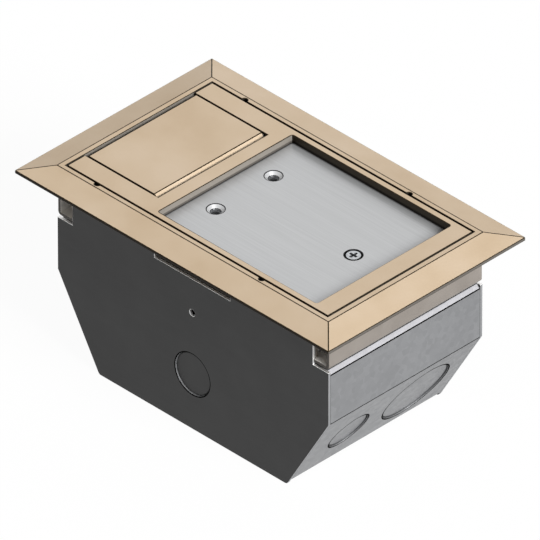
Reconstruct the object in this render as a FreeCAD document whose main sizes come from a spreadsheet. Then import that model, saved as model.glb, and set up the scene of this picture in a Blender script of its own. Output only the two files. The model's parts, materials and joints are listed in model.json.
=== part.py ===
import FreeCAD, Part
import math
import os
import Sketcher

# Floor socket box with a cast trim frame, a lift-out lid and a hinged cord door.
# Millimetres. The origin is under the middle of the box, at the lower edges of its side panels.
# X runs along the box towards the floor plate's end, Y across it, and Z up through the lid.

document = FreeCAD.newDocument("floor_socket_box")
sheet = document.addObject("Spreadsheet::Sheet", "sizes")
next_row = 1


class Size:
    """A number together with the expression that works it out from the sheet of sizes."""

    def __init__(self, value, text):
        self.value = value
        self.text = text

    def __add__(self, other):
        other = as_size(other)
        return Size(self.value + other.value, f"({self.text} + {other.text})")

    def __sub__(self, other):
        other = as_size(other)
        return Size(self.value - other.value, f"({self.text} - {other.text})")

    def __mul__(self, other):
        other = as_size(other)
        return Size(self.value * other.value, f"({self.text} * {other.text})")

    def __truediv__(self, other):
        other = as_size(other)
        return Size(self.value / other.value, f"({self.text} / {other.text})")

    def __neg__(self):
        return Size(-self.value, f"(0 - {self.text})")


def as_size(number):
    if isinstance(number, Size):
        return number
    return Size(float(number), f"({float(number)})")


def size(alias, value):
    """Write one size into the sheet and return it."""
    global next_row
    sheet.set(f"A{next_row}", alias)
    sheet.set(f"B{next_row}", str(value))
    sheet.setAlias(f"B{next_row}", alias)
    next_row += 1
    return Size(float(value), f"sizes.{alias}")


def tangent(angle):
    return Size(math.tan(math.radians(angle.value)), f"tan({angle.text} * 1deg)")


def sine(angle):
    return Size(math.sin(math.radians(angle.value)), f"sin({angle.text} * 1deg)")


def cosine(angle):
    return Size(math.cos(math.radians(angle.value)), f"cos({angle.text} * 1deg)")


zero = as_size(0)
right_angle = 90

# Trim flange
flange_overhang = size("flange_overhang", 17.2)
flange_lip = size("flange_lip", 2.1)
bevel_width = size("bevel_width", 17.2)
bevel_rise = size("bevel_rise", 3.7)
flange_depth = size("flange_depth", 124.9)

# Sheet-steel body
body_length = size("body_length", 219.6)
body_width = size("body_width", 125.2)
sheet_thickness = size("sheet_thickness", 2.0)
slant_angle = size("slant_angle", 60.0)
bend_height = size("bend_height", 57.9)
wrap_lift = size("wrap_lift", 3.1)
lip_bend_angle = size("lip_bend_angle", 45.0)
lip_bend = size("lip_bend", 2.5)
lip_depth = size("lip_depth", 14.0)
corner_notch_drop = size("corner_notch_drop", 30.4)
corner_notch_width = size("corner_notch_width", 12.3)
middle_notch_drop = size("middle_notch_drop", 19.5)
middle_notch_width = size("middle_notch_width", 61.3)
corner_round = size("corner_round", 2.5)
corner_tab_depth = size("corner_tab_depth", 24.0)
corner_tab_width = size("corner_tab_width", 13.6)
fixing_hole = size("fixing_hole", 4.5)
fixing_hole_height = size("fixing_hole_height", 81.8)

# Knockouts
small_knockout = size("small_knockout", 28.1)
large_knockout = size("large_knockout", 47.5)
knockout_sink = size("knockout_sink", 1.0)
shear_line_width = size("shear_line_width", 0.5)
shear_line_depth = size("shear_line_depth", 0.5)
small_knockout_side = size("small_knockout_side", 33.4)
knockout_spacing = size("knockout_spacing", 54.5)
slant_knockout_height = size("slant_knockout_height", 28.95)
side_knockout_height = size("side_knockout_height", 38.5)

# Cast trim frame below the flange, and the sheet skirt under it
frame_side_wall = size("frame_side_wall", 3.15)
frame_end_wall = size("frame_end_wall", 3.55)
lid_gap = size("lid_gap", 0.9)
ledge_thickness = size("ledge_thickness", 3.8)
long_ledge = size("long_ledge", 4.45)
end_ledge = size("end_ledge", 5.25)
skirt_thickness = size("skirt_thickness", 2.0)
skirt_clearance = size("skirt_clearance", 0.3)
skirt_gap = size("skirt_gap", 1.7)
frame_lip_depth = size("frame_lip_depth", 12.0)
skirt_bend = size("skirt_bend", 2.5)
skirt_inner_bend = size("skirt_inner_bend", 0.5)
pry_radius = size("pry_radius", 2.0)
pry_depth = size("pry_depth", 3.0)
pry_first = size("pry_first", 25.9)
pry_spacing = size("pry_spacing", 133.2)

# Lid
lid_thickness = size("lid_thickness", 8.3)
gasket_thickness = size("gasket_thickness", 1.0)
gasket_margin = size("gasket_margin", 0.3)
door_notch_length = size("door_notch_length", 59.45)
recess_side = size("recess_side", 4.15)
recess_depth = size("recess_depth", 5.8)
recess_end = size("recess_end", 13.05)
middle_strip = size("middle_strip", 10.0)
floor_plate_edge = size("floor_plate_edge", 2.6)
floor_plate_strip = size("floor_plate_strip", 7.1)
floor_plate_end = size("floor_plate_end", 10.7)
recess_round = size("recess_round", 1.5)

# Cable door and its pins
door_arm = size("door_arm", 14.2)
door_side_gap = size("door_side_gap", 0.8)
finger_gap = size("finger_gap", 3.0)
door_heel_gap = size("door_heel_gap", 0.55)
door_chamfer = size("door_chamfer", 3.5)
door_seat_gap = size("door_seat_gap", 0.3)
door_tab_length = size("door_tab_length", 8.0)
door_tab_width = size("door_tab_width", 2.85)
pin_radius = size("pin_radius", 1.25)
pin_length = size("pin_length", 20.0)
pin_end_inset = size("pin_end_inset", 1.05)
pin_inset = size("pin_inset", 3.7)
pin_depth = size("pin_depth", 2.6)
pin_running_gap = size("pin_running_gap", 0.05)
pin_fit = size("pin_fit", 0.02)

# Floor plate holes and the latch
insert_hole_x = size("insert_hole_x", 15.7)
insert_hole_spacing = size("insert_hole_spacing", 46.8)
insert_hole = size("insert_hole", 6.2)
insert_countersink = size("insert_countersink", 10.9)
insert_countersink_depth = size("insert_countersink_depth", 2.0)
insert_bush = size("insert_bush", 9.2)
insert_bush_length = size("insert_bush_length", 6.0)
latch_x = size("latch_x", 24.6)
latch_head = size("latch_head", 9.1)
latch_head_land = size("latch_head_land", 0.45)
latch_head_sink = size("latch_head_sink", 0.15)
latch_ring = size("latch_ring", 11.0)
latch_ring_depth = size("latch_ring_depth", 0.5)
latch_shaft = size("latch_shaft", 5.0)
latch_gap = size("latch_gap", 0.15)
latch_overlap = size("latch_overlap", 2.7)
latch_bar_width = size("latch_bar_width", 12.0)
latch_bar_thickness = size("latch_bar_thickness", 2.5)
latch_bar_gap = size("latch_bar_gap", 0.3)
latch_spacer = size("latch_spacer", 9.0)
latch_spacer_gap = size("latch_spacer_gap", 0.2)
latch_nut_flats = size("latch_nut_flats", 8.0)
latch_nut_thickness = size("latch_nut_thickness", 3.0)
cross_span = size("cross_span", 5.2)
cross_width = size("cross_width", 1.1)
cross_depth = size("cross_depth", 1.6)

# Fasteners
thread_fit = size("thread_fit", 0.05)
screw_tip = size("screw_tip", 0.7)
frame_screw = size("frame_screw", 4.0)
frame_screw_head = size("frame_screw_head", 7.6)
frame_screw_head_height = size("frame_screw_head_height", 2.6)
frame_screw_inset = size("frame_screw_inset", 18.6)
frame_screw_edge = size("frame_screw_edge", 8.4)
frame_spacer = size("frame_spacer", 8.5)
frame_nut_flats = size("frame_nut_flats", 7.0)
frame_nut_thickness = size("frame_nut_thickness", 3.2)
small_screw = size("small_screw", 3.0)
small_screw_head = size("small_screw_head", 5.4)
small_screw_slot = size("small_screw_slot", 0.9)
small_screw_slot_depth = size("small_screw_slot_depth", 0.8)
plate_screw_length = size("plate_screw_length", 6.0)
lid_screw_side = size("lid_screw_side", 10.9)

# Device plate, rails and devices
device_plate_end_gap = size("device_plate_end_gap", 3.65)
device_plate_side_gap = size("device_plate_side_gap", 3.45)
device_plate_thickness = size("device_plate_thickness", 1.6)
device_plate_top = size("device_plate_top", 65.6)
rail_end_gap = size("rail_end_gap", 7.8)
rail_width = size("rail_width", 8.6)
rail_height = size("rail_height", 10.0)
rail_thickness = size("rail_thickness", 2.0)
rail_screw_end = size("rail_screw_end", 8.15)
rail_screw_edge = size("rail_screw_edge", 2.85)
gang_spacing = size("gang_spacing", 46.0)
device_face_width = size("device_face_width", 33.4)
device_face_height = size("device_face_height", 66.8)
device_face_gap = size("device_face_gap", 0.2)
device_proud = size("device_proud", 1.0)
device_depth = size("device_depth", 28.0)
insert_depth = size("insert_depth", 12.0)
yoke_rail_gap = size("yoke_rail_gap", 0.3)
yoke_width = size("yoke_width", 24.0)
yoke_thickness = size("yoke_thickness", 1.3)
device_screw_edge = size("device_screw_edge", 3.3)
outlet_spacing = size("outlet_spacing", 39.0)
blade_spacing = size("blade_spacing", 12.7)
blade_slot_length = size("blade_slot_length", 7.4)
blade_slot_width = size("blade_slot_width", 2.0)
blade_slot_depth = size("blade_slot_depth", 16.0)
earth_hole = size("earth_hole", 5.4)
earth_hole_offset = size("earth_hole_offset", 11.9)
contact_thickness = size("contact_thickness", 0.5)
contact_height = size("contact_height", 9.0)
jack_spacing = size("jack_spacing", 24.0)
jack_width = size("jack_width", 17.0)
jack_height = size("jack_height", 15.0)
jack_depth = size("jack_depth", 22.0)
jack_mouth_width = size("jack_mouth_width", 11.8)
jack_mouth_height = size("jack_mouth_height", 8.0)
jack_mouth_depth = size("jack_mouth_depth", 14.0)
jack_proud = size("jack_proud", 0.4)
jack_fit = size("jack_fit", 0.1)
divider_thickness = size("divider_thickness", 1.5)
divider_foot = size("divider_foot", 12.0)
divider_edge_gap = size("divider_edge_gap", 0.3)
earth_screw = size("earth_screw", 4.8)
earth_screw_flats = size("earth_screw_flats", 9.5)
earth_screw_head = size("earth_screw_head", 3.2)
earth_screw_washer = size("earth_screw_washer", 12.0)
earth_screw_washer_thickness = size("earth_screw_washer_thickness", 1.0)
earth_screw_end = size("earth_screw_end", 26.2)
earth_screw_side = size("earth_screw_side", 26.6)
earth_screw_length = size("earth_screw_length", 3.6)
document.recompute()

# Heights that follow from the sizes, from the floor of the room downwards
top = flange_depth + flange_lip + bevel_rise
lid_bottom = top - lid_thickness
ledge_top = lid_bottom - gasket_thickness
ledge_bottom = ledge_top - ledge_thickness
plate_top = top - recess_depth
notch_bottom = flange_depth - corner_notch_drop
middle_notch_bottom = flange_depth - middle_notch_drop
frame_lip_bottom = notch_bottom + skirt_gap
frame_lip_top = frame_lip_bottom + skirt_thickness
wrap_floor = wrap_lift + sheet_thickness
wrap_lip_bottom = notch_bottom - sheet_thickness

# Half lengths and half widths, from the middle of the box outwards
half_length = body_length / 2
half_width = body_width / 2
inner_width = half_width - sheet_thickness
inner_length = half_length - sheet_thickness
flange_half_length = half_length + flange_overhang
flange_half_width = half_width + flange_overhang
opening_length = half_length - frame_end_wall
opening_width = half_width - frame_side_wall
lid_half_length = opening_length - lid_gap
lid_half_width = opening_width - lid_gap
ledge_length = opening_length - end_ledge
ledge_width = opening_width - long_ledge
notch_length = half_length - corner_notch_width
skirt_width = inner_width - skirt_clearance
skirt_length = notch_length - skirt_clearance
tab_length = half_length - corner_tab_depth
small_knockout_y = small_knockout_side - half_width
large_knockout_y = small_knockout_y + knockout_spacing

# Lid features along the box
lid_start = -lid_half_length
recess_stop = lid_half_length - recess_end
recess_half = lid_half_width - recess_side
door_notch_stop = lid_start + door_notch_length
recess_start = door_notch_stop + middle_strip
door_stop = door_notch_stop - door_heel_gap
door_start = finger_gap - opening_length
door_notch_half = lid_half_width - door_arm
door_half = door_notch_half - door_side_gap
door_bottom = plate_top
pin_x = door_stop - pin_inset
pin_z = top - pin_depth
pin_outer_end = lid_half_width - pin_end_inset
floor_plate_start = recess_start - floor_plate_strip
floor_plate_stop = recess_stop + floor_plate_end
floor_plate_half = recess_half + floor_plate_edge
latch_place = recess_stop - latch_x
latch_reach = ledge_length - latch_place + latch_overlap
insert_hole_place = recess_start + insert_hole_x

# Devices
plate_bottom = device_plate_top - device_plate_thickness
device_face_top = device_plate_top + device_proud
plate_half_length = inner_length - device_plate_end_gap
plate_half_width = inner_width - device_plate_side_gap
rail_half_length = inner_length - rail_end_gap
rail_screw_x = plate_half_length - rail_screw_end
yoke_half_length = inner_width - rail_width - yoke_rail_gap
device_screw_y = yoke_half_length - device_screw_edge
socket_gang_a = gang_spacing / 2
socket_gang_b = socket_gang_a + gang_spacing
blank_gang = socket_gang_a - gang_spacing
data_gang = blank_gang - gang_spacing
both_ends = (1, -1)
same_place = 0.01

turned_to = {
    "x": FreeCAD.Rotation(FreeCAD.Vector(0, 1, 0), 90),
    "y": FreeCAD.Rotation(FreeCAD.Vector(1, 0, 0), -90),
    "z": FreeCAD.Rotation(),
}


def place(thing, point):
    """Tie a shape's place to the three sizes of a point."""
    for axis, value in zip("xyz", point):
        thing.setExpression(f"Placement.Base.{axis}", as_size(value).text)


def block(name, low, high):
    """A rectangular block between two opposite corners."""
    box = document.addObject("Part::Box", name)
    for side, start, stop in zip(("Length", "Width", "Height"), low, high):
        box.setExpression(side, (as_size(stop) - as_size(start)).text)
    place(box, low)
    return box


def centred_block(name, half_x, half_y, bottom, upper):
    """A block that is centred on the Z axis."""
    return block(name, (-half_x, -half_y, bottom), (half_x, half_y, upper))


def corner_block(name, side, across, near, far, bottom, upper):
    """A block in one corner of the box, between a point near the middle and one further out."""
    low_x, high_x = (near[0], far[0]) if side > 0 else (-far[0], -near[0])
    low_y, high_y = (near[1], far[1]) if across > 0 else (-far[1], -near[1])
    return block(name, (low_x, low_y, bottom), (high_x, high_y, upper))


def rod(name, radius, start, length, along="z"):
    """A cylinder from a point, along X, Y or Z."""
    cylinder = document.addObject("Part::Cylinder", name)
    cylinder.Placement = FreeCAD.Placement(FreeCAD.Vector(), turned_to[along])
    cylinder.setExpression("Radius", radius.text)
    cylinder.setExpression("Height", length.text)
    place(cylinder, start)
    return cylinder


def taper(name, lower_radius, upper_radius, start, length):
    """A cone that stands on a point."""
    cone = document.addObject("Part::Cone", name)
    cone.setExpression("Radius1", lower_radius.text)
    cone.setExpression("Radius2", upper_radius.text)
    cone.setExpression("Height", length.text)
    place(cone, start)
    return cone


def hexagon(name, across_flats, start, length):
    """A hexagonal prism that stands on a point."""
    prism = document.addObject("Part::Prism", name)
    prism.Polygon = 6
    prism.setExpression("Circumradius", (across_flats / math.sqrt(3)).text)
    prism.setExpression("Height", length.text)
    place(prism, start)
    return prism


def joined(name, things):
    """One solid made of pieces that touch."""
    whole = document.addObject("Part::MultiFuse", name)
    whole.Shapes = things
    whole.Refine = True
    return whole


def without(name, base, tools):
    """A shape with others cut out of it."""
    result = document.addObject("Part::Cut", name)
    result.Base = base
    result.Tool = tools[0] if len(tools) == 1 else joined(f"{name}_cutters", tools)
    result.Refine = True
    return result


def group(name, things):
    """Separate solids that share one name."""
    bundle = document.addObject("Part::Compound", name)
    bundle.Links = things
    return bundle


def padded(name, plane, points, start, length):
    """A closed outline of straight runs, drawn on a plane of its own body and padded.

    The outline's points are pairs of sizes. On the XZ plane the pad runs towards -Y.
    """
    body = document.addObject("PartDesign::Body", name)
    sketch = body.newObject("Sketcher::SketchObject", f"{name}_outline")
    plane_feature = next(item for item in body.Origin.OriginFeatures if item.Role == plane)
    sketch.AttachmentSupport = [(plane_feature, "")]
    sketch.MapMode = "FlatFace"
    sketch.setExpression("AttachmentOffset.Base.z", as_size(start).text)
    corners = [FreeCAD.Vector(across.value, along.value, 0) for across, along in points]
    count = len(corners)
    for index in range(count):
        sketch.addGeometry(Part.LineSegment(corners[index], corners[(index + 1) % count]))
    for index in range(count):
        sketch.addConstraint(Sketcher.Constraint("Coincident", index, 2, (index + 1) % count, 1))
    for index, point in enumerate(points):
        for kind, coordinate in zip(("DistanceX", "DistanceY"), point):
            rule = Sketcher.Constraint(kind, -1, 1, index, 1, coordinate.value)
            number = sketch.addConstraint(rule)
            sketch.setExpression(f"Constraints[{number}]", coordinate.text)
    pad = body.newObject("PartDesign::Pad", f"{name}_pad")
    pad.Profile = sketch
    pad.setExpression("Length", as_size(length).text)
    body.Tip = pad
    return body


def mirrored_points(right_side):
    """An outline's right side, from the bottom up, followed by its mirror image down the left."""
    left_side = [(-across, up) for across, up in reversed(right_side)]
    return right_side + left_side


def rounded(name, base, radius, chosen):
    """Round the edges of a finished shape that are picked by their middle point and direction."""
    document.recompute()
    fillet = document.addObject("Part::Fillet", name)
    fillet.Base = base
    edges = []
    for number, edge in enumerate(base.Shape.Edges, start=1):
        if chosen(edge.CenterOfMass, edge.Length, edge.BoundBox):
            edges.append((number, radius.value, radius.value))
    fillet.Edges = edges
    return fillet


# Sheet-steel body
def side_panel(name, side):
    """A flat side plate with sloping ends, corner notches, a middle notch and a knockout."""
    foot = half_length - bend_height / tangent(slant_angle)
    right_side = [
        (foot, zero),
        (half_length, bend_height),
        (half_length, notch_bottom),
        (notch_length, notch_bottom),
        (notch_length, ledge_bottom),
        (middle_notch_width / 2, ledge_bottom),
        (middle_notch_width / 2, middle_notch_bottom),
    ]
    outer_face = half_width if side > 0 else -inner_width
    plate = padded(f"{name}_plate", "XZ_Plane", mirrored_points(right_side), -outer_face, sheet_thickness)

    def is_foot_corner(middle, length, box):
        return box.YLength > box.XLength + box.ZLength and middle.z < wrap_lift.value

    plate = rounded(f"{name}_rounded", plate, corner_round, is_foot_corner)
    start = outer_face - sheet_thickness
    hole = rod(f"{name}_hole", fixing_hole / 2, (zero, start, fixing_hole_height), sheet_thickness, "y")
    sunk_face = outer_face - knockout_sink if side > 0 else outer_face - sheet_thickness
    centre = (zero, sunk_face, side_knockout_height)
    sunk = rod(f"{name}_sunk", small_knockout / 2, centre, knockout_sink, "y")
    line_face = sunk_face - shear_line_depth if side > 0 else sunk_face + knockout_sink
    centre = (zero, line_face, side_knockout_height)
    outside = rod(f"{name}_line_outside", small_knockout / 2, centre, shear_line_depth, "y")
    inside_radius = small_knockout / 2 - shear_line_width
    inside = rod(f"{name}_line_inside", inside_radius, centre, shear_line_depth, "y")
    shear_line = without(f"{name}_shear_line", outside, [inside])
    raised_face = start - knockout_sink if side > 0 else outer_face
    centre = (zero, raised_face, side_knockout_height)
    raised = rod(f"{name}_raised", small_knockout / 2, centre, knockout_sink, "y")
    return joined(name, [without(f"{name}_cut", plate, [hole, sunk, shear_line]), raised])


def slant_disc(name, radius, side, across, depth, thickness):
    """A disc square to a slope that starts a depth below its outer face and goes inwards."""
    disc = document.addObject("Part::Cylinder", name)
    disc.Placement = FreeCAD.Placement(
        FreeCAD.Vector(), FreeCAD.Rotation(FreeCAD.Vector(0, 1, 0), -slant_angle.value * side)
    )
    disc.setExpression("Radius", radius.text)
    disc.setExpression("Height", thickness.text)
    run = (bend_height - slant_knockout_height) / tangent(slant_angle)
    along = half_length - run - depth * sine(slant_angle)
    place(disc, (along * side, across, slant_knockout_height + depth * cosine(slant_angle)))
    return disc


def wrap_foot():
    """Half the length of the wrap's flat floor, to the outside of the bend."""
    return half_length - (bend_height - wrap_lift) / tangent(slant_angle)


def earth_screw_place():
    return wrap_foot() - earth_screw_end, inner_width - earth_screw_side


def body_wrap():
    """One bent sheet: the floor, both slopes, both end walls and the lips with their corner tabs."""
    foot = wrap_foot()
    inner_foot = foot - sheet_thickness * tangent(slant_angle / 2)
    inner_bend = bend_height + sheet_thickness * tangent((as_size(right_angle) - slant_angle) / 2)
    wall_top = notch_bottom - lip_bend * tangent(lip_bend_angle)
    inner_wall_top = wall_top - sheet_thickness * tangent(lip_bend_angle / 2)
    lip_start = half_length - lip_bend
    inner_lip_start = lip_start - sheet_thickness * tangent(lip_bend_angle / 2)
    lip_end = half_length - lip_depth
    right_side = [
        (foot, wrap_lift),
        (half_length, bend_height),
        (half_length, wall_top),
        (lip_start, notch_bottom),
        (lip_end, notch_bottom),
        (lip_end, wrap_lip_bottom),
        (inner_lip_start, wrap_lip_bottom),
        (inner_length, inner_wall_top),
        (inner_length, inner_bend),
        (inner_foot, wrap_floor),
    ]
    left_side = [(-across, up) for across, up in right_side]
    outline = right_side + left_side[::-1]
    bent = padded("body_wrap_bent", "XZ_Plane", outline, -inner_width, inner_width * 2)
    solids = [bent]
    cutters = []
    raised = []
    for side in both_ends:
        for width, across in ((small_knockout, small_knockout_y), (large_knockout, large_knockout_y)):
            radius = width / 2
            cutters.append(slant_disc("knockout_sunk", radius, side, across, zero, knockout_sink))
            outside = slant_disc(
                "shear_line_outside", radius, side, across, knockout_sink, shear_line_depth
            )
            inside = slant_disc(
                "shear_line_inside", radius - shear_line_width, side, across, knockout_sink, shear_line_depth
            )
            cutters.append(without("shear_line", outside, [inside]))
            raised.append(
                slant_disc("knockout_raised", radius, side, across, sheet_thickness, knockout_sink)
            )
        for across in both_ends:
            hole = rod(
                "lip_hole", frame_screw / 2 + thread_fit,
                (frame_screw_x(side), frame_screw_y(across), wrap_lip_bottom), sheet_thickness,
            )
            cutters.append(hole)
            near = (tab_length, inner_width - corner_tab_width)
            far = (lip_end, inner_width)
            tab = corner_block("wrap_tab", side, across, near, far, wrap_lip_bottom, notch_bottom)
            solids.append(tab)
    earth_hole_cut = rod(
        "earth_screw_hole", earth_screw / 2 + thread_fit,
        (*earth_screw_place(), wrap_lift), sheet_thickness,
    )
    cutters.append(earth_hole_cut)
    sheet_with_tabs = joined("body_wrap_sheet", solids)
    return joined("body_wrap", [without("body_wrap_cut", sheet_with_tabs, cutters)] + raised)


# Trim frame, its skirt and their fastening to the lips of the wrap
def frame_screw_x(side):
    return (half_length - frame_screw_inset) * side


def frame_screw_y(across):
    return (half_width - frame_screw_edge) * across


def along_y(half_x, height):
    """A test for the edges along Y at a height and at a distance from the middle of the box."""
    def is_there(middle, length, box):
        far = abs(abs(middle.x) - half_x.value) + abs(middle.z - height.value)
        return far < same_place and box.YLength > box.XLength + box.ZLength

    return is_there


def bevelled_flange():
    """The flange's straight lip with the mitred bevel above it."""
    lip = centred_block(
        "flange_edge", flange_half_length, flange_half_width, flange_depth, flange_depth + flange_lip
    )
    bevel = document.addObject("Part::Wedge", "flange_bevel")
    bevel.Placement = FreeCAD.Placement(FreeCAD.Vector(), FreeCAD.Rotation(FreeCAD.Vector(1, 0, 0), 90))
    bevel.setExpression("Xmin", (-flange_half_length).text)
    bevel.setExpression("Xmax", flange_half_length.text)
    bevel.setExpression("Zmin", (-flange_half_width).text)
    bevel.setExpression("Zmax", flange_half_width.text)
    bevel.setExpression("Ymin", zero.text)
    bevel.setExpression("Ymax", bevel_rise.text)
    bevel.setExpression("X2min", (bevel_width - flange_half_length).text)
    bevel.setExpression("X2max", (flange_half_length - bevel_width).text)
    bevel.setExpression("Z2min", (bevel_width - flange_half_width).text)
    bevel.setExpression("Z2max", (flange_half_width - bevel_width).text)
    place(bevel, (zero, zero, flange_depth + flange_lip))
    return [lip, bevel]


def trim_frame():
    """The cast frame: the flange, the wall and the ledge that carries the lid."""
    wall = centred_block("frame_wall", half_length, half_width, ledge_bottom, flange_depth)
    cutters = [
        centred_block("lid_opening", opening_length, opening_width, ledge_top, top),
        centred_block("ledge_opening", ledge_length, ledge_width, ledge_bottom, ledge_top),
        block(
            "cord_opening", (-opening_length, -door_half, ledge_bottom), (-ledge_length, door_half, ledge_top)
        ),
    ]
    for across in both_ends:
        for step in (0, 1):
            along = pry_first + pry_spacing * step - lid_half_length - lid_gap / 2
            centre = (along, opening_width * across, top - pry_depth)
            cutters.append(rod("pry_notch", pry_radius, centre, pry_depth))
    return without("trim_frame", joined("frame_casting", bevelled_flange() + [wall]), cutters)


def frame_skirt():
    """The sheet skirt under the cast frame: long sides, bent ends with lips, and corner tabs."""
    solids = []
    holes = []
    for side in both_ends:
        outer = skirt_width * side
        inner = (skirt_width - skirt_thickness) * side
        low_y, high_y = (inner, outer) if side > 0 else (outer, inner)
        skirt = block(
            "long_skirt", (-skirt_length, low_y, frame_lip_bottom), (skirt_length, high_y, ledge_bottom)
        )
        solids.append(skirt)
        outer = half_length * side
        inner = (half_length - skirt_thickness) * side
        low_x, high_x = (inner, outer) if side > 0 else (outer, inner)
        end_half = half_width - skirt_clearance * 2
        end_skirt = block(
            "end_skirt", (low_x, -end_half, frame_lip_bottom), (high_x, end_half, ledge_bottom)
        )
        outer = inner_length * side
        inner = (half_length - frame_lip_depth) * side
        low_x, high_x = (inner, outer) if side > 0 else (outer, inner)
        end_lip = block("end_lip", (low_x, -end_half, frame_lip_bottom), (high_x, end_half, frame_lip_top))
        bent = joined("end_skirt_sharp", [end_skirt, end_lip])
        bent = rounded("end_skirt_outer_bend", bent, skirt_bend, along_y(half_length, frame_lip_bottom))
        bent = rounded("end_skirt_bend", bent, skirt_inner_bend, along_y(inner_length, frame_lip_top))
        solids.append(bent)
        for across in both_ends:
            near = (tab_length, skirt_width - corner_tab_width)
            far = (half_length - frame_lip_depth, skirt_width)
            tab = corner_block("frame_tab", side, across, near, far, frame_lip_bottom, frame_lip_top)
            solids.append(tab)
            start = (frame_screw_x(side), frame_screw_y(across), frame_lip_bottom)
            holes.append(rod("frame_screw_hole", frame_screw / 2 + thread_fit, start, skirt_thickness))
    return without("frame_skirt", joined("frame_skirt_sheet", solids), holes)


def four_corners(name, make):
    """The same solid at the four places of the frame screws."""
    solids = []
    for side in both_ends:
        for across in both_ends:
            solids.append(make(frame_screw_x(side), frame_screw_y(across)))
    return group(name, solids)


def frame_screws():
    def screw(along, across):
        tip = wrap_lip_bottom - frame_nut_thickness - screw_tip
        shaft = rod("frame_screw_shaft", frame_screw / 2, (along, across, tip), frame_lip_top - tip)
        head = rod(
            "frame_screw_head", frame_screw_head / 2, (along, across, frame_lip_top), frame_screw_head_height
        )
        slot_half = frame_screw_head / 2
        slot_bottom = frame_lip_top + frame_screw_head_height - small_screw_slot_depth
        slot = block(
            "frame_screw_slot",
            (along - slot_half, across - small_screw_slot / 2, slot_bottom),
            (along + slot_half, across + small_screw_slot / 2, slot_bottom + small_screw_slot_depth),
        )
        return without("frame_screw_solid", joined("frame_screw_blank", [shaft, head]), [slot])

    return four_corners("frame_screws", screw)


def frame_spacers():
    def spacer(along, across):
        start = (along, across, notch_bottom)
        outer = rod("frame_spacer_outer", frame_spacer / 2, start, skirt_gap)
        bore = rod("frame_spacer_bore", frame_screw / 2 + thread_fit, start, skirt_gap)
        return without("frame_spacer_solid", outer, [bore])

    return four_corners("frame_spacers", spacer)


def frame_nuts():
    def nut(along, across):
        start = (along, across, wrap_lip_bottom - frame_nut_thickness)
        outer = hexagon("frame_nut_outer", frame_nut_flats, start, frame_nut_thickness)
        bore = rod("frame_nut_bore", frame_screw / 2 + thread_fit, start, frame_nut_thickness)
        return without("frame_nut_solid", outer, [bore])

    return four_corners("frame_nuts", nut)


# Lid
def lid_gasket():
    """The flat seal on the ledge, left open where the cords come out."""
    ring = centred_block(
        "gasket_outside", lid_half_length - gasket_margin, lid_half_width - gasket_margin,
        ledge_top, lid_bottom,
    )
    inside = centred_block(
        "gasket_inside", ledge_length + gasket_margin, ledge_width + gasket_margin, ledge_top, lid_bottom
    )
    gap = block(
        "gasket_gap", (-lid_half_length, -door_notch_half, ledge_top),
        (-ledge_length, door_notch_half, lid_bottom),
    )
    return without("lid_gasket", ring, [inside, gap])


def lid_screw_places():
    """Where the floor plate is screwed up into the lid: two in the strip and two at the end."""
    strip = recess_start - floor_plate_strip / 2
    end = recess_stop + floor_plate_end / 2
    across = recess_half - lid_screw_side
    return [(along, across * side) for along in (strip, end) for side in both_ends]


def lid_frame():
    """The cast lid: a door notch with two arms, a strip, and a recess that is open to the plate."""
    blank = block(
        "lid_blank", (lid_start, -lid_half_width, lid_bottom), (lid_half_length, lid_half_width, top)
    )
    window = block(
        "lid_window", (recess_start, -recess_half, lid_bottom), (recess_stop, recess_half, top)
    )

    def is_upright_corner(middle, length, box):
        return box.ZLength > box.XLength + box.YLength

    window = rounded("lid_window_rounded", window, recess_round, is_upright_corner)
    seat = block(
        "plate_seat", (floor_plate_start, -floor_plate_half, lid_bottom),
        (floor_plate_stop, floor_plate_half, plate_top),
    )
    door_notch = block(
        "door_notch", (lid_start, -door_notch_half, lid_bottom), (door_notch_stop, door_notch_half, top)
    )
    cutters = [window, seat, door_notch]
    for side in both_ends:
        start_y = door_half if side > 0 else -lid_half_width
        length = lid_half_width - door_half
        cutters.append(rod("pin_hole", pin_radius + pin_fit, (pin_x, start_y, pin_z), length, "y"))
    for along, across in lid_screw_places():
        depth = plate_screw_length - (plate_top - lid_bottom) + screw_tip
        cutters.append(rod("lid_screw_hole", small_screw / 2 + thread_fit, (along, across, plate_top), depth))
    casting = without("lid_casting", blank, cutters)
    tabs = []
    for side in both_ends:
        outer = door_notch_half * side
        inner = (door_notch_half - door_tab_width) * side
        low_y, high_y = (inner, outer) if side > 0 else (outer, inner)
        tab_stop = lid_start + door_tab_length
        tab = block(
            "door_tab", (lid_start, low_y, lid_bottom), (tab_stop, high_y, door_bottom - door_seat_gap)
        )
        tabs.append(tab)
    return joined("lid_frame", [casting] + tabs)


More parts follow.
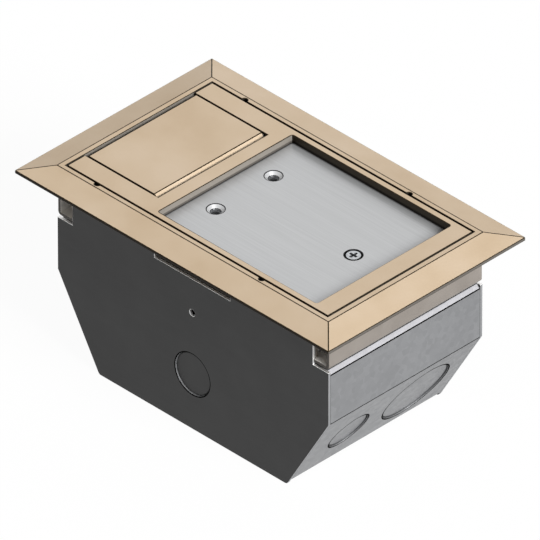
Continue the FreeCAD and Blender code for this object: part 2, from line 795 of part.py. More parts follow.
def floor_plate():
    """The flat plate in the recess, with two countersunk holes and the latch screw's hole."""
    blank = block(
        "floor_plate_blank", (floor_plate_start, -floor_plate_half, lid_bottom),
        (floor_plate_stop, floor_plate_half, plate_top),
    )
    thickness = plate_top - lid_bottom
    cutters = []
    for side in both_ends:
        centre_y = insert_hole_spacing / 2 * side
        start = (insert_hole_place, centre_y, lid_bottom)
        cutters.append(rod("insert_hole_bore", insert_hole / 2, start, thickness))
        sink_start = (insert_hole_place, centre_y, plate_top - insert_countersink_depth)
        sink = taper(
            "insert_hole_sink", insert_hole / 2, insert_countersink / 2, sink_start, insert_countersink_depth
        )
        cutters.append(sink)
    ring_bottom = plate_top - latch_ring_depth
    cutters.append(rod("latch_ring_cut", latch_ring / 2, (latch_place, zero, ring_bottom), latch_ring_depth))
    lower, upper = latch_hole_radii()
    cutters.append(
        taper("latch_hole", lower, upper, (latch_place, zero, lid_bottom), ring_bottom - lid_bottom)
    )
    for along, across in lid_screw_places():
        start = (along, across, lid_bottom)
        cutters.append(rod("plate_screw_hole", small_screw / 2 + thread_fit, start, thickness))
        head_depth = (small_screw_head - small_screw) / 2
        cutters.append(
            taper(
                "plate_screw_sink", small_screw_head / 2 + thread_fit, small_screw / 2 + thread_fit,
                start, head_depth,
            )
        )
    return without("floor_plate", blank, cutters)


def insert_bushes():
    """Two bushes against the plate's underside that take the screws of a floor finish insert."""
    solids = []
    for side in both_ends:
        start = (insert_hole_place, insert_hole_spacing / 2 * side, lid_bottom - insert_bush_length)
        outer = rod("insert_bush_outer", insert_bush / 2, start, insert_bush_length)
        bore = rod("insert_bush_bore", insert_hole / 2, start, insert_bush_length)
        solids.append(without("insert_bush_solid", outer, [bore]))
    return group("insert_bushes", solids)


def latch_head_bottom():
    return plate_top - latch_head_sink - latch_head_land


def latch_hole_radii():
    """The radii of the latch screw's conical hole at the plate's underside and below its ring."""
    at_head = latch_head / 2 + latch_gap
    lower = at_head - (latch_head_bottom() - lid_bottom)
    upper = at_head + (plate_top - latch_ring_depth - latch_head_bottom())
    return lower, upper


def floor_plate_screws():
    """Flat-head screws, driven up from below, flush with the plate's underside."""
    solids = []
    for along, across in lid_screw_places():
        start = (along, across, lid_bottom)
        head_depth = (small_screw_head - small_screw) / 2
        head = taper("plate_screw_head", small_screw_head / 2, small_screw / 2, start, head_depth)
        shaft = rod("plate_screw_shaft", small_screw / 2, start, plate_screw_length)
        slot = block(
            "plate_screw_slot",
            (along - small_screw_head / 2, across - small_screw_slot / 2, lid_bottom),
            (
                along + small_screw_head / 2,
                across + small_screw_slot / 2,
                lid_bottom + small_screw_slot_depth,
            ),
        )
        solids.append(without("plate_screw", joined("plate_screw_blank", [head, shaft]), [slot]))
    return group("floor_plate_screws", solids)


def hinge_pins():
    """Two pins, pressed through the lid's arms, on which the cable door turns."""
    solids = []
    for side in both_ends:
        start_y = pin_outer_end - pin_length if side > 0 else -pin_outer_end
        solids.append(rod("hinge_pin", pin_radius, (pin_x, start_y, pin_z), pin_length, "y"))
    return group("hinge_pins", solids)


def cable_door():
    """The door over the cord way, chamfered along its hinge edge so that it can turn up."""
    outline = [
        (door_start, door_bottom),
        (door_stop, door_bottom),
        (door_stop, top - door_chamfer),
        (door_stop - door_chamfer, top),
        (door_start, top),
    ]
    slab = padded("cable_door_slab", "XZ_Plane", outline, -door_half, door_half * 2)
    depth = door_half - (pin_outer_end - pin_length) + pin_fit
    cutters = []
    for side in both_ends:
        start_y = door_half - depth if side > 0 else -door_half
        radius = pin_radius + pin_running_gap
        cutters.append(rod("door_pin_hole", radius, (pin_x, start_y, pin_z), depth, "y"))
    return without("cable_door", slab, cutters)


# Latch
def latch_bar_top():
    return ledge_bottom - latch_bar_gap


def latch_shaft_bottom():
    return latch_bar_top() - latch_bar_thickness - latch_nut_thickness - screw_tip


def latch_screw():
    """The cross-head screw, with a conical seat, that turns in the floor plate."""
    head_top = plate_top - latch_head_sink
    head_bottom = latch_head_bottom()
    cone_depth = (latch_head - latch_shaft) / 2
    rim = rod("latch_rim", latch_head / 2, (latch_place, zero, head_bottom), latch_head_land)
    cone = taper(
        "latch_cone", latch_shaft / 2, latch_head / 2,
        (latch_place, zero, head_bottom - cone_depth), cone_depth,
    )
    bottom = latch_shaft_bottom()
    shaft = rod("latch_shaft", latch_shaft / 2, (latch_place, zero, bottom), head_bottom - bottom)
    half_span = cross_span / 2
    half_arm = cross_width / 2
    cross_bottom = head_top - cross_depth
    cross = [
        block(
            "cross_arm_x", (latch_place - half_span, -half_arm, cross_bottom),
            (latch_place + half_span, half_arm, head_top),
        ),
        block(
            "cross_arm_y", (latch_place - half_arm, -half_span, cross_bottom),
            (latch_place + half_arm, half_span, head_top),
        ),
    ]
    return without("latch_screw", joined("latch_screw_blank", [rim, cone, shaft]), cross)


def latch_spacer_tube():
    bottom = latch_bar_top()
    length = lid_bottom - latch_spacer_gap - bottom
    outer = rod("latch_spacer_outer", latch_spacer / 2, (latch_place, zero, bottom), length)
    bore = rod("latch_spacer_bore", latch_shaft / 2 + thread_fit, (latch_place, zero, bottom), length)
    return without("latch_spacer", outer, [bore])


def latch_bar():
    """The bar that goes under the end ledge once the screw is turned from +Y to +X."""
    half_bar = latch_bar_width / 2
    bar_bottom = latch_bar_top() - latch_bar_thickness
    start = (latch_place, zero, bar_bottom)
    hub = rod("latch_hub", half_bar, start, latch_bar_thickness)
    arm = block(
        "latch_arm", (latch_place - half_bar, zero, bar_bottom),
        (latch_place + half_bar, latch_reach, latch_bar_top()),
    )
    bore = rod("latch_bar_bore", latch_shaft / 2 + thread_fit, start, latch_bar_thickness)
    return without("latch_bar", joined("latch_bar_blank", [hub, arm]), [bore])


def latch_nut():
    start = (latch_place, zero, latch_bar_top() - latch_bar_thickness - latch_nut_thickness)
    outer = hexagon("latch_nut_outer", latch_nut_flats, start, latch_nut_thickness)
    bore = rod("latch_nut_bore", latch_shaft / 2 + thread_fit, start, latch_nut_thickness)
    return without("latch_nut", outer, [bore])


# Device plate and what it carries
def plate_rail(name, side):
    """An angle along a side panel: its shelf carries the device plate."""
    edge = inner_width
    shelf_edge = inner_width - rail_width
    leg_edge = inner_width - rail_thickness
    low = (-rail_half_length, shelf_edge if side > 0 else -edge, plate_bottom - rail_thickness)
    high = (rail_half_length, edge if side > 0 else -shelf_edge, plate_bottom)
    shelf = block(f"{name}_shelf", low, high)
    low = (-rail_half_length, leg_edge if side > 0 else -edge, plate_bottom - rail_height)
    high = (rail_half_length, edge if side > 0 else -leg_edge, plate_bottom - rail_thickness)
    leg = block(f"{name}_leg", low, high)
    holes = []
    for end in both_ends:
        start = (rail_screw_x * end, rail_screw_y(side), plate_bottom - rail_thickness)
        holes.append(rod("rail_hole", small_screw / 2 + thread_fit, start, rail_thickness))
    return without(name, joined(f"{name}_angle", [shelf, leg]), holes)


def rail_screw_y(side):
    return (plate_half_width - rail_screw_edge) * side


def device_plate():
    """The plate with one window for each of its four places."""
    blank = centred_block(
        "device_plate_blank", plate_half_length, plate_half_width, plate_bottom, device_plate_top
    )
    cutters = []
    for gang in (data_gang, blank_gang, socket_gang_a, socket_gang_b):
        half_x = device_face_width / 2 + device_face_gap
        half_y = device_face_height / 2 + device_face_gap
        window = block(
            "device_window", (gang - half_x, -half_y, plate_bottom), (gang + half_x, half_y, device_plate_top)
        )
        cutters.append(window)
        for across in both_ends:
            start = (gang, device_screw_y * across, plate_bottom)
            cutters.append(rod("device_hole", small_screw / 2 + thread_fit, start, device_plate_thickness))
    for side in both_ends:
        for end in both_ends:
            start = (rail_screw_x * end, rail_screw_y(side), plate_bottom)
            radius = small_screw / 2 + thread_fit
            cutters.append(rod("plate_fixing_hole", radius, start, device_plate_thickness))
    return without("device_plate", blank, cutters)


def pan_screw(name, along, across, seat, tip):
    """A slotted pan-head screw that stands on a seat and reaches down to its tip."""
    shaft = rod(f"{name}_shaft", small_screw / 2, (along, across, tip), seat - tip)
    head_height = small_screw_slot_depth * 2
    head = rod(f"{name}_head", small_screw_head / 2, (along, across, seat), head_height)
    slot_bottom = seat + head_height - small_screw_slot_depth
    slot = block(
        f"{name}_slot",
        (along - small_screw_head / 2, across - small_screw_slot / 2, slot_bottom),
        (along + small_screw_head / 2, across + small_screw_slot / 2, seat + head_height),
    )
    return without(name, joined(f"{name}_blank", [shaft, head]), [slot])


def device_plate_screws():
    solids = []
    for side in both_ends:
        for end in both_ends:
            tip = plate_bottom - rail_thickness - screw_tip
            along = rail_screw_x * end
            solids.append(pan_screw("rail_screw", along, rail_screw_y(side), device_plate_top, tip))
    return group("device_plate_screws", solids)


def device_screws():
    """Two screws for each device, through the plate into the device's yoke."""
    solids = []
    for gang in (data_gang, blank_gang, socket_gang_a, socket_gang_b):
        for across in both_ends:
            tip = plate_bottom - yoke_thickness - screw_tip
            place_y = device_screw_y * across
            solids.append(pan_screw("device_screw", gang, place_y, device_plate_top, tip))
    return group("device_screws", solids)


def device_yokes():
    """The steel strap under the plate that each device is held by."""
    solids = []
    for gang in (data_gang, blank_gang, socket_gang_a, socket_gang_b):
        strap = block(
            "yoke_strap", (gang - yoke_width / 2, -yoke_half_length, plate_bottom - yoke_thickness),
            (gang + yoke_width / 2, yoke_half_length, plate_bottom),
        )
        half_x = device_face_width / 2 + device_face_gap
        half_y = device_face_height / 2
        room = block(
            "yoke_room", (gang - half_x, -half_y, plate_bottom - yoke_thickness),
            (gang + half_x, half_y, plate_bottom),
        )
        cutters = [room]
        for across in both_ends:
            start = (gang, device_screw_y * across, plate_bottom - yoke_thickness)
            cutters.append(rod("yoke_hole", small_screw / 2 + thread_fit, start, yoke_thickness))
        solids.append(without("device_yoke", strap, cutters))
    return group("device_yokes", solids)


def blade_places(gang):
    """The two blade slots of each outlet, as the middles of their mouths."""
    places = []
    for outlet in both_ends:
        for blade in both_ends:
            places.append((gang + blade_spacing / 2 * blade, outlet_spacing / 2 * outlet))
    return places


def duplex_socket(name, gang):
    """A socket with two outlets, each with two blade slots and a round earth hole."""
    half_x = device_face_width / 2
    half_y = device_face_height / 2
    bottom = device_plate_top - device_depth
    blank = block(f"{name}_blank", (gang - half_x, -half_y, bottom), (gang + half_x, half_y, device_face_top))
    cutters = []
    slot_bottom = device_face_top - blade_slot_depth
    for along, across in blade_places(gang):
        cutters.append(
            block(
                f"{name}_slot",
                (along - blade_slot_width / 2, across - blade_slot_length / 2, slot_bottom),
                (along + blade_slot_width / 2, across + blade_slot_length / 2, device_face_top),
            )
        )
    for outlet in both_ends:
        across = outlet_spacing / 2 * outlet - earth_hole_offset
        start = (gang, across, slot_bottom)
        cutters.append(rod(f"{name}_earth", earth_hole / 2, start, blade_slot_depth))
    return without(name, blank, cutters)


def socket_contacts():
    """The brass leaf against the outer wall of each blade slot."""
    solids = []
    bottom = device_face_top - blade_slot_depth
    for gang in (socket_gang_a, socket_gang_b):
        for along, across in blade_places(gang):
            side = 1 if along.value > gang.value else -1
            wall = along + blade_slot_width / 2 * side
            leaf_edge = wall - contact_thickness * side
            low_x, high_x = (leaf_edge, wall) if side > 0 else (wall, leaf_edge)
            half_leaf = blade_slot_length / 2
            solids.append(
                block(
                    "contact_leaf", (low_x, across - half_leaf, bottom),
                    (high_x, across + half_leaf, bottom + contact_height),
                )
            )
    return group("socket_contacts", solids)


def blank_insert():
    """The plain cover in the place that holds no socket."""
    half_x = device_face_width / 2
    half_y = device_face_height / 2
    bottom = device_plate_top - insert_depth
    return block(
        "blank_insert", (blank_gang - half_x, -half_y, bottom), (blank_gang + half_x, half_y, device_face_top)
    )


def jack_centres():
    return [jack_spacing / 2 * side for side in both_ends]


def data_insert():
    """The insert that holds the two data jacks."""
    half_x = device_face_width / 2
    half_y = device_face_height / 2
    bottom = device_plate_top - insert_depth
    blank = block(
        "data_insert_blank", (data_gang - half_x, -half_y, bottom),
        (data_gang + half_x, half_y, device_face_top),
    )
    room_x = jack_width / 2 + jack_fit
    room_y = jack_height / 2 + jack_fit
    rooms = [
        block(
            "jack_room", (data_gang - room_x, across - room_y, bottom),
            (data_gang + room_x, across + room_y, device_face_top),
        )
        for across in jack_centres()
    ]
    return without("data_insert", blank, rooms)


def data_jacks():
    """Two jacks with a square mouth, held in the data insert."""
    solids = []
    jack_top = device_face_top + jack_proud
    for across in jack_centres():
        half_x = jack_width / 2
        half_y = jack_height / 2
        body = block(
            "jack_body", (data_gang - half_x, across - half_y, jack_top - jack_depth),
            (data_gang + half_x, across + half_y, jack_top),
        )
        half_mouth = jack_mouth_width / 2
        mouth = block(
            "jack_mouth",
            (data_gang - half_mouth, across - jack_mouth_height / 2, jack_top - jack_mouth_depth),
            (data_gang + half_mouth, across + jack_mouth_height / 2, jack_top),
        )
        solids.append(without("data_jack", body, [mouth]))
    return group("data_jacks", solids)


# What stands on the floor of the wrap
def divider():
    """The sheet that keeps power and data apart, notched round the rails, with a foot."""
    middle = (data_gang + blank_gang) / 2
    wide = inner_width - divider_edge_gap
    narrow = inner_width - rail_width - divider_edge_gap
    shoulder = plate_bottom - rail_height - divider_edge_gap
    right_side = [(wide, wrap_floor), (wide, shoulder), (narrow, shoulder), (narrow, plate_bottom)]
    upright = padded(
        "divider_upright", "YZ_Plane", mirrored_points(right_side), middle - divider_thickness / 2,
        divider_thickness,
    )
    foot = block(
        "divider_foot", (middle, -wide, wrap_floor),
        (middle + divider_foot, wide, wrap_floor + divider_thickness),
    )
    return joined("divider", [upright, foot])


def ground_screw():
    """The hexagon-headed earth screw with its washer, through the floor of the wrap."""
    place_x, place_y = earth_screw_place()
    start = (place_x, place_y, wrap_floor)
    washer = rod("earth_washer", earth_screw_washer / 2, start, earth_screw_washer_thickness)
    head_start = (place_x, place_y, wrap_floor + earth_screw_washer_thickness)
    head = hexagon("earth_head", earth_screw_flats, head_start, earth_screw_head)
    tip = (place_x, place_y, wrap_floor - earth_screw_length)
    shaft = rod("earth_shaft", earth_screw / 2, tip, earth_screw_length)
    return joined("ground_screw", [washer, head, shaft])


pieces = [
    side_panel("side_panel_front", -1),
    side_panel("side_panel_back", 1),
    body_wrap(),
    trim_frame(),
    frame_skirt(),
    frame_screws(),
    frame_spacers(),
    frame_nuts(),
    lid_gasket(),
    plate_rail("plate_rail_front", -1),
    plate_rail("plate_rail_back", 1),
    device_plate(),
    device_plate_screws(),
    device_yokes(),
    device_screws(),
    duplex_socket("duplex_socket_a", socket_gang_a),
    duplex_socket("duplex_socket_b", socket_gang_b),
    socket_contacts(),
    blank_insert(),
    data_insert(),
    data_jacks(),
    divider(),
    ground_screw(),
    lid_frame(),
    floor_plate(),
    insert_bushes(),
    floor_plate_screws(),
    hinge_pins(),
    cable_door(),
    latch_screw(),
    latch_spacer_tube(),
    latch_bar(),
    latch_nut(),
]
document.recompute()

faults = []
for thing in document.Objects:
    if "Invalid" in thing.State or "Error" in thing.State:
        faults.append(f"{thing.Label}: {thing.State}")
for piece in pieces:
    if piece.Shape.isNull() or not piece.Shape.isValid():
        faults.append(f"{piece.Label}: no valid shape")
    elif not piece.Shape.Solids:
        faults.append(f"{piece.Label}: no solid")
if faults:
    raise RuntimeError("; ".join(faults))

os.makedirs("parts", exist_ok=True)
for piece in pieces:
    piece.Shape.exportStep(f"parts/{piece.Label}.step")
    print(piece.Label, len(piece.Shape.Solids), "solids", round(piece.Shape.Volume, 1), "mm3")
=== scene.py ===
# Floor socket box: the finishes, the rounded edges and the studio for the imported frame.
# Metres, +Z up, in the frame's own axes.
import json
import math

import bpy
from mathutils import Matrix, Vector


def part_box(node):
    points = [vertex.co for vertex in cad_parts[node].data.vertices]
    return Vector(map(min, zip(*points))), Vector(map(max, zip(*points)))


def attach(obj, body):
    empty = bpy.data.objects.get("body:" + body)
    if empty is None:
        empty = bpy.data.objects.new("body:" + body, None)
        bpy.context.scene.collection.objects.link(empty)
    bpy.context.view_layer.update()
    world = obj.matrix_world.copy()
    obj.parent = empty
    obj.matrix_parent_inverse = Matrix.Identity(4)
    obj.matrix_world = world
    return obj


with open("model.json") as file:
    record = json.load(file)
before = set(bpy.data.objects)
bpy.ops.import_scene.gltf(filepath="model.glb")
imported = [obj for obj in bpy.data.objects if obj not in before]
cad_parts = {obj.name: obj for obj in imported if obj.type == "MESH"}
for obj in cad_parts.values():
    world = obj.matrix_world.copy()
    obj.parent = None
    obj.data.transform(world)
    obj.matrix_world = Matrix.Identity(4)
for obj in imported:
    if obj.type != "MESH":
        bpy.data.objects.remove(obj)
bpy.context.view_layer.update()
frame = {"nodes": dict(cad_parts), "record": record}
nodes = frame["nodes"]
mm = 0.001
mounts = {mount["name"]: Vector(mount["pos_m"]) for mount in frame["record"]["mounts"]}
floorLine = mounts["flange_seat"].z      # the flange's underside, level with the finished floor
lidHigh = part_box("lid_frame")[1]
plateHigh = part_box("floor_plate")[1]
bushLow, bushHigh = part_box("insert_bushes")
jackLow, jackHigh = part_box("data_jacks")
print("frame loaded with", len(nodes), "nodes")


# small helpers for the finishes
def linearColour(hexColour):
    channels = [int(hexColour[start:start + 2], 16) / 255 for start in (1, 3, 5)]
    return [c / 12.92 if c <= 0.04045 else ((c + 0.055) / 1.055) ** 2.4 for c in channels] + [1]


# A setting goes to the socket of that name or number, or else to the node itself. A link starts at
# the socket that is given, or at the first output of the node that is given.
def addNode(tree, kind, settings=None, links=None):
    node = tree.nodes.new("ShaderNode" + kind)
    for name, value in (settings or {}).items():
        if name == "stops":     # a colour ramp's places and hex colours
            ramp = node.color_ramp.elements
            while len(ramp) < len(value):
                ramp.new(0.5)
            for element, (place, hexColour) in zip(ramp, value):
                element.position = place
                element.color = linearColour(hexColour)
        elif isinstance(value, str) and value.startswith("#"):
            node.inputs[name].default_value = linearColour(value)
        elif isinstance(name, int) or name in node.inputs:
            node.inputs[name].default_value = value
        else:
            setattr(node, name, value)
    for name, source in (links or {}).items():
        socket = source if isinstance(source, bpy.types.NodeSocket) else source.outputs[0]
        tree.links.new(socket, node.inputs[name])
    return node


def startMaterial(name, finish):
    material = bpy.data.materials.new(name)
    material.use_nodes = True
    tree = material.node_tree
    shader = tree.nodes["Principled BSDF"]
    middleTone = finish["tones"][1][1]
    shader.inputs["Base Color"].default_value = linearColour(middleTone)
    shader.inputs["Metallic"].default_value = finish["metallic"]
    shader.inputs["Roughness"].default_value = finish["roughness"]
    space = addNode(tree, "TexCoord")
    return material, tree, shader, space


# Painted shade: corners and gaps are painted darker. How open a place is goes from 0 to 1.
cornerShadeLook = {"fullUnder": 0.35, "noneOver": 0.85, "amount": 0.9, "samples": 8}


def addCornerShade(tree, clean, finish):
    hollow = addNode(
        tree, "AmbientOcclusion", {"samples": cornerShadeLook["samples"], "Distance": finish["cornerShadeReach"]}
    )
    cornerShadeAmount = addNode(
        tree, "MapRange",
        {
            "From Min": cornerShadeLook["fullUnder"],
            "From Max": cornerShadeLook["noneOver"],
            "To Min": cornerShadeLook["amount"],
            "To Max": 0.0,
        },
        {"Value": hollow.outputs["AO"]},
    )
    return addNode(tree, "MixRGB", {"Color2": finish["cornerShade"]}, {"Fac": cornerShadeAmount, "Color1": clean})


# How smooth a place is varies a little to either side of the finish's roughness.
def addPolish(tree, varying, finish):
    smoother, rougher = finish["polish"]
    return addNode(
        tree, "MapRange",
        {"To Min": finish["roughness"] - smoother, "To Max": finish["roughness"] + rougher},
        {"Value": varying},
    )


# Each knockout's sheared line and each bend's press mark is dark, dull metal, alike at both ends.
def addLines(tree, shader, where, clean, polish, finish):
    place = addNode(tree, "SeparateXYZ", {}, {"Vector": where})
    outwards = addNode(tree, "Math", {"operation": "ABSOLUTE"}, {0: place.outputs["X"]})
    folded = addNode(
        tree, "CombineXYZ", {}, {"X": outwards, "Y": place.outputs["Y"], "Z": place.outputs["Z"]}
    )
    lines = []
    for height in finish["bends"]:
        atEnds = addNode(
            tree, "Math", {"operation": "GREATER_THAN", 1: finish["bendsBeyond"]}, {0: outwards}
        )
        onBend = addNode(
            tree, "Math", {"operation": "COMPARE", 1: height, 2: finish["bendWidth"] / 2},
            {0: place.outputs["Z"]},
        )
        lines.append(addNode(tree, "Math", {"operation": "MULTIPLY"}, {0: onBend, 1: atEnds}))
    for knockout in finish["knockouts"]:
        square = knockout["square"]
        lineMiddle = knockout["radius"] + finish["lineFrom"] + finish["lineWidth"] / 2
        offset = addNode(
            tree, "VectorMath", {"operation": "SUBTRACT", 1: knockout["centre"]}, {0: folded}
        )
        depth = addNode(tree, "VectorMath", {"operation": "DOT_PRODUCT", 1: square}, {0: offset})
        inPlane = addNode(
            tree, "VectorMath", {"operation": "MULTIPLY_ADD", 1: [-value for value in square]},
            {0: depth.outputs["Value"], 2: offset},
        )
        away = addNode(tree, "VectorMath", {"operation": "LENGTH"}, {0: inPlane})
        onLine = addNode(
            tree, "Math", {"operation": "COMPARE", 1: lineMiddle, 2: finish["lineWidth"] / 2},
            {0: away.outputs["Value"]},
        )
        either = addNode(tree, "Math", {"operation": "ABSOLUTE"}, {0: depth.outputs["Value"]})
        onSheet = addNode(tree, "Math", {"operation": "LESS_THAN", 1: finish["lineReach"]}, {0: either})
        lines.append(addNode(tree, "Math", {"operation": "MULTIPLY"}, {0: onLine, 1: onSheet}))
    line = lines[0]
    for another in lines[1:]:
        line = addNode(tree, "Math", {"operation": "MAXIMUM"}, {0: line, 1: another})
    metal = addNode(tree, "MapRange", {"To Min": finish["metallic"], "To Max": 1.0}, {"Value": line})
    dulled = addNode(tree, "Math", {"operation": "MAXIMUM"}, {0: polish, 1: line})
    colour = addNode(tree, "MixRGB", {"Color2": finish["line"]}, {"Fac": line, "Color1": clean})
    tree.links.new(metal.outputs["Result"], shader.inputs["Metallic"])
    tree.links.new(dulled.outputs["Value"], shader.inputs["Roughness"])
    return colour, metal


# Polyester powder on cast aluminium, sprayed and baked: an even satin tan with a faint orange peel.
# The casting is left uncoated under the floor line. Upright walls in the openings and on the rim, and
# all under the floor line, are painted in grey and dark metal tones as painted shade, darkest across the
# box.
powderCoat = {
    "tones": [(0.32, "#C3AC8F"), (0.5, "#C9B397"), (0.7, "#CEB99F")],   # paler where it lies thin
    "edge": "#33291A",          # powder draws back from sharp edges, and dark metal shows through
    # painted shade: the dull grey of upright walls in the openings
    "shadedBare": "#857F77",
    "rim": "#5C5751",           # painted shade, darker on the rim
    "longWall": "#39332B",      # painted shade, darker still on walls that face across the box, darkest on their rim
    "longRim": "#1F1B16",
    "cornerShade": "#1A1611",
    "metallic": 0.0,
    "roughness": 0.46,
    "polish": (0.06, 0.08),     # smoother and rougher than that in places
    "bareMetallic": 0.12,
    "blotch": 42 * mm,
    "grain": 1.7 * mm,          # real orange peel is about 0.8 mm wide, drawn twice that so that it shows
    "grainHeight": 0.045 * mm,
    "bump": 0.8,
    "upright": 0.4,             # a wall's normal points up or down by less than this
    "longwise": 0.6,            # and a long wall's points across the box by more
    "openingMargin": 3 * mm,
    "rimTop": 2.05 * mm,        # above the floor line
    "coatEnds": 0.05 * mm,      # below it
    "cornerShadeReach": 3 * mm,
}


def makePowderCoat(name, finish, edge=False):
    material, tree, shader, space = startMaterial(name, finish)
    where = space.outputs["Object"]
    blotch = addNode(tree, "TexNoise", {"Scale": 1 / finish["blotch"], "Detail": 3.0}, {"Vector": where})
    tone = addNode(tree, "ValToRGB", {"stops": finish["tones"]}, {"Fac": blotch})
    grain = addNode(tree, "TexNoise", {"Scale": 1 / finish["grain"], "Detail": 2.0}, {"Vector": where})
    bump = addNode(
        tree, "Bump", {"Strength": finish["bump"], "Distance": finish["grainHeight"]}, {"Height": grain}
    )

    # painted shade: upright walls inside the opening and on the rim, and all that is under the floor line
    place = addNode(tree, "SeparateXYZ", {}, {"Vector": where})
    facing = addNode(tree, "SeparateXYZ", {}, {"Vector": space.outputs["Normal"]})
    upDown = addNode(tree, "Math", {"operation": "ABSOLUTE"}, {0: facing.outputs["Z"]})
    upright = addNode(tree, "Math", {"operation": "LESS_THAN", 1: finish["upright"]}, {0: upDown})
    endwise = addNode(tree, "Math", {"operation": "ABSOLUTE"}, {0: place.outputs["X"]})
    sideways = addNode(tree, "Math", {"operation": "ABSOLUTE"}, {0: place.outputs["Y"]})
    insideX = addNode(
        tree, "Math", {"operation": "LESS_THAN", 1: lidHigh.x + finish["openingMargin"]}, {0: endwise}
    )
    insideY = addNode(
        tree, "Math", {"operation": "LESS_THAN", 1: lidHigh.y + finish["openingMargin"]}, {0: sideways}
    )
    inside = addNode(tree, "Math", {"operation": "MULTIPLY"}, {0: insideX, 1: insideY})
    onRim = addNode(
        tree, "Math", {"operation": "LESS_THAN", 1: floorLine + finish["rimTop"]}, {0: place.outputs["Z"]}
    )
    openingAndRim = addNode(tree, "Math", {"operation": "MAXIMUM"}, {0: inside, 1: onRim})
    shadedUpright = addNode(tree, "Math", {"operation": "MULTIPLY"}, {0: openingAndRim, 1: upright})
    low = addNode(
        tree, "Math", {"operation": "LESS_THAN", 1: floorLine - finish["coatEnds"]}, {0: place.outputs["Z"]}
    )
    # the lid and its door are coated all round
    buried = addNode(tree, "Math", {"operation": "GREATER_THAN"}, {0: low, 1: inside})
    shadedBare = addNode(tree, "Math", {"operation": "MAXIMUM"}, {0: shadedUpright, 1: buried})

    across = addNode(tree, "Math", {"operation": "ABSOLUTE"}, {0: facing.outputs["Y"]})
    longwise = addNode(tree, "Math", {"operation": "GREATER_THAN", 1: finish["longwise"]}, {0: across})
    # painted shade: the rim and the walls that face across the box get darker tones
    shortMetal = addNode(tree, "MixRGB", {"Color1": finish["shadedBare"], "Color2": finish["rim"]}, {"Fac": onRim})
    longMetal = addNode(
        tree, "MixRGB", {"Color1": finish["longWall"], "Color2": finish["longRim"]}, {"Fac": onRim}
    )
    shadedMetal = addNode(tree, "MixRGB", {}, {"Fac": longwise, "Color1": shortMetal, "Color2": longMetal})
    colour = addNode(tree, "MixRGB", {"Color1": finish["edge"]}, {"Fac": shadedBare, "Color2": shadedMetal})
    if not edge:        # a face shows the coat itself
        tree.links.new(tone.outputs["Color"], colour.inputs["Color1"])
    colour = addCornerShade(tree, colour, finish)
    polish = addPolish(tree, grain, finish)
    if edge:
        shader.inputs["Metallic"].default_value = 1.0
    else:
        longShadeMetal = addNode(tree, "Math", {"operation": "MULTIPLY"}, {0: shadedBare, 1: longwise})
        dull = addNode(tree, "Math", {"operation": "MULTIPLY", 1: finish["bareMetallic"]}, {0: shadedBare})
        metal = addNode(tree, "Math", {"operation": "MAXIMUM"}, {0: dull, 1: longShadeMetal})
        tree.links.new(metal.outputs["Value"], shader.inputs["Metallic"])
    tree.links.new(colour.outputs["Color"], shader.inputs["Base Color"])
    tree.links.new(bump.outputs["Normal"], shader.inputs["Normal"])
    tree.links.new(polish.outputs["Result"], shader.inputs["Roughness"])
    return material


# Hot-dip galvanised sheet, minimised spangle: small crystals, each a little lighter or duller.
# Where the top of each end wall is bent over, its upward-leaning face is painted lighter as painted light.
slopeSquare = (0.866, 0, -0.5)      # the ends slope at 60 degrees
galvanised = {
    "tones": [(0.45, "#7F8082"), (0.72, "#838486"), (0.98, "#87888A")],
    "bend": "#B2B2B6",
    "bendLean": 0.46,           # the bent face's normal along the box times its rise is more than this
    "cornerShade": "#1F1F20",
    "metallic": 0.5,
    "roughness": 0.44,
    "polish": (0.05, 0.07),
    "spangle": 3.2 * mm,        # real crystals are about 1 mm across, drawn coarser so that they show
    "crystalShare": 0.5,        # how much each crystal's own tone counts beside the smear
    "smear": 24 * mm,
    "relief": 0.012 * mm,
    "bump": 0.4,
    "knockouts": [
        {"centre": (92.44 * mm, -29.2 * mm, 29.33 * mm), "square": slopeSquare, "radius": 14.05 * mm},
        {"centre": (92.44 * mm, 25.3 * mm, 29.33 * mm), "square": slopeSquare, "radius": 23.75 * mm},
    ],
    "line": "#0E0E0E",
    "lineFrom": 0.05 * mm,      # from the knockout's radius outwards
    "lineWidth": 1.1 * mm,
    "lineReach": 2.5 * mm,      # how far from the knockout's face it may be
    "bends": [57.9 * mm, 92.0 * mm],        # heights above the base
    "bendsBeyond": 100 * mm,
    "bendWidth": 0.75 * mm,
    "cornerShadeReach": 2.2 * mm,
}


